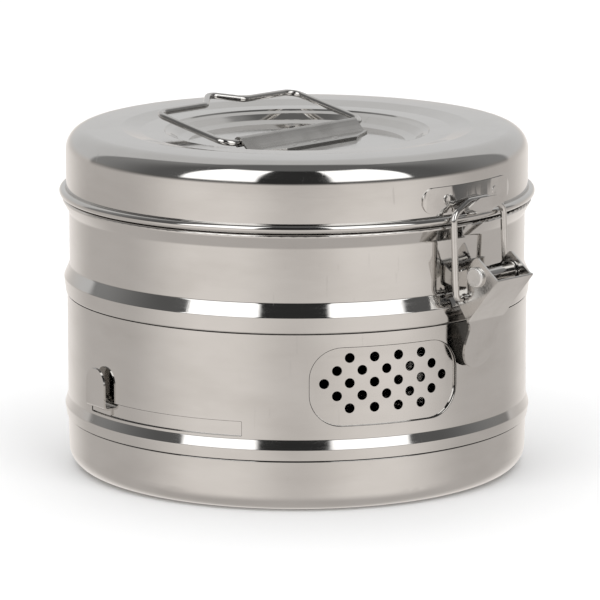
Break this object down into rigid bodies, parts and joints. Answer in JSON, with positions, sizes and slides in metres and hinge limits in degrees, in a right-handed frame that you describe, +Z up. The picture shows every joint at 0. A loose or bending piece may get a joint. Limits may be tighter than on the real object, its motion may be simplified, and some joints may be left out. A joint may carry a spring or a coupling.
{
  "type": "sterilization drum",
  "caption": "Round steel sterilization drum with a hinged lid, a folding lid handle, an over-centre latch and a sliding shutter behind perforated vent windows.",
  "frame": {"origin": "centre of the flat underside of the base pan, on the axis of the drum", "axes": "+Z up along the axis of the drum; the latch is at -Y, the hinge of the lid at +Y, and X runs along the hinge pin"},
  "size_m": [0.187, 0.2123, 0.1421],
  "materials": {
    "body_steel": "polished stainless sheet",
    "fitting_steel": "bright stainless sheet, lightly scuffed",
    "shutter_steel": "satin stainless sheet",
    "wire_steel": "drawn stainless wire and turned pins"
  },
  "bodies": {
    "drum": {"base_pan": "body_steel", "drum_wall": "body_steel", "vent_band": "body_steel", "latch_bracket": "fitting_steel", "latch_spacer": "wire_steel", "hinge_body_leaf": "fitting_steel", "hinge_pin": "wire_steel"},
    "shutter": {"shutter_ring": "shutter_steel", "shutter_tab": "shutter_steel"},
    "lid": {"lid_shell": "body_steel", "lid_hem_wire": "wire_steel", "handle_strap": "fitting_steel", "keeper_plate": "fitting_steel", "hinge_lid_leaf": "fitting_steel"},
    "handle": {"lid_handle": "wire_steel"},
    "lever": {"latch_lever": "fitting_steel", "latch_pin": "wire_steel"},
    "bail": {"latch_bail": "wire_steel"}
  },
  "joints": [
    {"name": "lid_swing", "type": "hinge", "parent": "drum", "child": "lid", "pos_m": [0, 0.097, 0.1065], "axis": [-1, 0, 0], "range_deg": [0, 105]},
    {"name": "shutter_turn", "type": "hinge", "parent": "drum", "child": "shutter", "pos_m": [0, 0, 0.0475], "axis": [0, 0, 1], "range_deg": [0, 38]},
    {"name": "handle_fold", "type": "hinge", "parent": "lid", "child": "handle", "pos_m": [0, 0, 0.1312], "axis": [1, 0, 0], "range_deg": [-6, 163]},
    {"name": "lever_throw", "type": "hinge", "parent": "drum", "child": "lever", "pos_m": [0, -0.102, 0.0882], "axis": [-1, 0, 0], "range_deg": [0, 115]},
    {"name": "bail_swing", "type": "hinge", "parent": "lever", "child": "bail", "pos_m": [0, -0.0958, 0.0794], "axis": [-1, 0, 0], "range_deg": [-86.5, 0]}
  ],
  "couplings": [
    {"joint": "bail_swing", "follows": "lever_throw", "ratio": -0.75}
  ]
}
